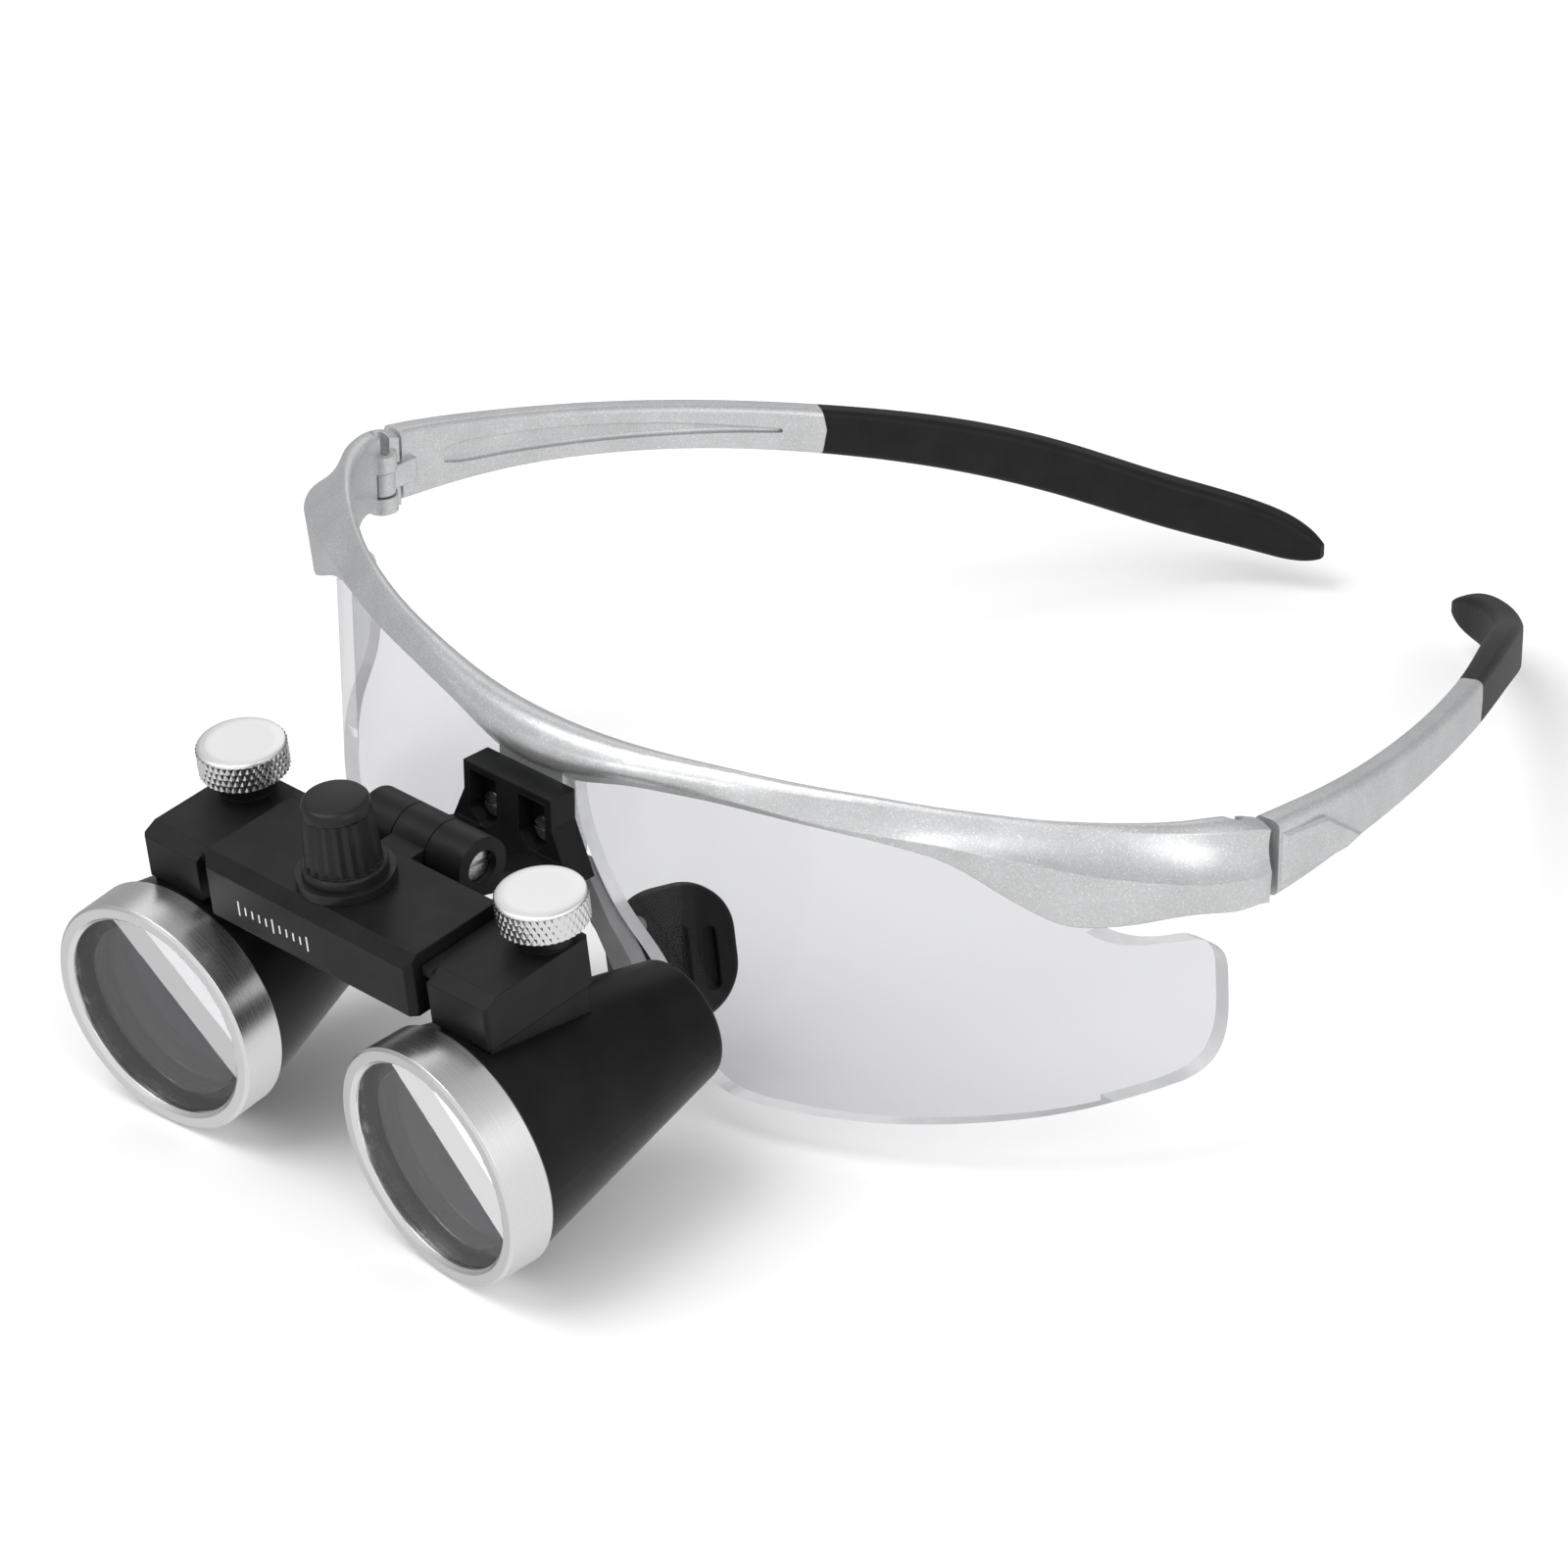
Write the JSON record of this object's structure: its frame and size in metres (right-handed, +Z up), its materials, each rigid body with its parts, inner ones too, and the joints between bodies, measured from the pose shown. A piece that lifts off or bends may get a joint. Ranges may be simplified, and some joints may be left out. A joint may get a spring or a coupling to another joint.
{
  "type": "dental loupes",
  "caption": "Dental loupes: silver sports frame with clear lenses carrying a flip-up deck with a pair of converging magnifying telescopes on adjustable slides",
  "frame": {"origin": "centre of the footprint, at the height of the lowest point", "axes": "+Z up, +X to the wearer's left, -Y forward in the wearer's line of sight; the temples run back along +Y"},
  "size_m": [0.1492, 0.1998, 0.0499],
  "materials": {
    "silver_frame": "silver paint with fine metal flake on moulded plastic",
    "shield_lens": "clear moulded polycarbonate",
    "grey_plastic": "smoke grey moulded nylon",
    "nose_rubber": "soft black",
    "tip_rubber": "soft black with a fine texture",
    "black_metal": "black anodised, satin",
    "rail_metal": "ground",
    "screw_steel": "bright",
    "black_plastic": "moulded, satin",
    "knob_silver": "turned, knurled, pearl anodised",
    "bezel_metal": "turned, satin with a polished bevel",
    "black_barrel": "black anodised, satin",
    "front_glass": "polished optical glass"
  },
  "bodies": {
    "frame": {"front_frame": "silver_frame", "left_lens": "shield_lens", "right_lens": "shield_lens", "nose_saddle": "grey_plastic", "left_nose_pad": "nose_rubber", "right_nose_pad": "nose_rubber", "mount_bracket": "black_metal", "bracket_screws": "screw_steel", "hinge_screws": "screw_steel", "flip_screw": "screw_steel", "flip_nut": "screw_steel"},
    "left_arm": {"left_temple": "silver_frame", "left_temple_tip": "tip_rubber"},
    "right_arm": {"right_temple": "silver_frame", "right_temple_tip": "tip_rubber"},
    "deck": {"centre_block": "black_metal", "rail": "rail_metal", "rail_screws": "screw_steel"},
    "light_collar": {"light_washer": "black_plastic"},
    "light_grip": {"light_knob": "black_plastic"},
    "left_slide": {"left_slider_block": "black_metal", "left_barrel": "black_barrel", "left_bezel": "bezel_metal", "left_cover_glass": "front_glass", "left_objective_ring": "black_barrel", "left_objective_crown": "front_glass", "left_objective_flint": "front_glass", "left_eyepiece_lens": "front_glass", "left_eyepiece_ring": "black_barrel"},
    "left_clamp": {"left_clamp_shoe": "rail_metal"},
    "left_grip": {"left_clamp_knob": "knob_silver"},
    "right_slide": {"right_slider_block": "black_metal", "right_barrel": "black_barrel", "right_bezel": "bezel_metal", "right_cover_glass": "front_glass", "right_objective_ring": "black_barrel", "right_objective_crown": "front_glass", "right_objective_flint": "front_glass", "right_eyepiece_lens": "front_glass", "right_eyepiece_ring": "black_barrel"},
    "right_clamp": {"right_clamp_shoe": "rail_metal"},
    "right_grip": {"right_clamp_knob": "knob_silver"}
  },
  "joints": [
    {"name": "left_temple_fold", "type": "hinge", "parent": "frame", "child": "left_arm", "pos_m": [0.0704, -0.01676, 0.0385], "axis": [0, 0, 1], "range_deg": [0, 70]},
    {"name": "right_temple_fold", "type": "hinge", "parent": "frame", "child": "right_arm", "pos_m": [-0.0704, -0.01676, 0.0385], "axis": [0, 0, -1], "range_deg": [0, 62]},
    {"name": "flip_up", "type": "hinge", "parent": "frame", "child": "deck", "pos_m": [0, -0.07436, 0.03788], "axis": [-1, 0, 0], "range_deg": [-8, 80]},
    {"name": "light_lift", "type": "slide", "parent": "deck", "child": "light_collar", "axis": [0, -0.1201, 0.9928], "range_m": [0, 0.0014]},
    {"name": "light_turn", "type": "hinge", "parent": "light_collar", "child": "light_grip", "pos_m": [0, -0.08851, 0.04946], "axis": [0, -0.1201, 0.9928], "range_deg": [0, 720]},
    {"name": "left_pupil_slide", "type": "slide", "parent": "deck", "child": "left_slide", "axis": [1, 0, 0], "range_m": [0, 0.005]},
    {"name": "left_clamp_lift", "type": "slide", "parent": "left_slide", "child": "left_clamp", "axis": [0, -0.1201, 0.9928], "range_m": [0, 0.0005]},
    {"name": "left_clamp_turn", "type": "hinge", "parent": "left_clamp", "child": "left_grip", "pos_m": [0.0248, -0.08075, 0.04403], "axis": [0, -0.1201, 0.9928], "range_deg": [0, 360]},
    {"name": "right_pupil_slide", "type": "slide", "parent": "deck", "child": "right_slide", "axis": [-1, 0, 0], "range_m": [0, 0.005]},
    {"name": "right_clamp_lift", "type": "slide", "parent": "right_slide", "child": "right_clamp", "axis": [0, -0.1201, 0.9928], "range_m": [0, 0.0005]},
    {"name": "right_clamp_turn", "type": "hinge", "parent": "right_clamp", "child": "right_grip", "pos_m": [-0.0248, -0.08075, 0.04403], "axis": [0, -0.1201, 0.9928], "range_deg": [0, 360]}
  ],
  "couplings": [
    {"joint": "light_turn", "follows": "light_lift", "rad_per_m": 8975.8},
    {"joint": "left_clamp_turn", "follows": "left_clamp_lift", "rad_per_m": 12566},
    {"joint": "right_clamp_turn", "follows": "right_clamp_lift", "rad_per_m": 12566}
  ]
}
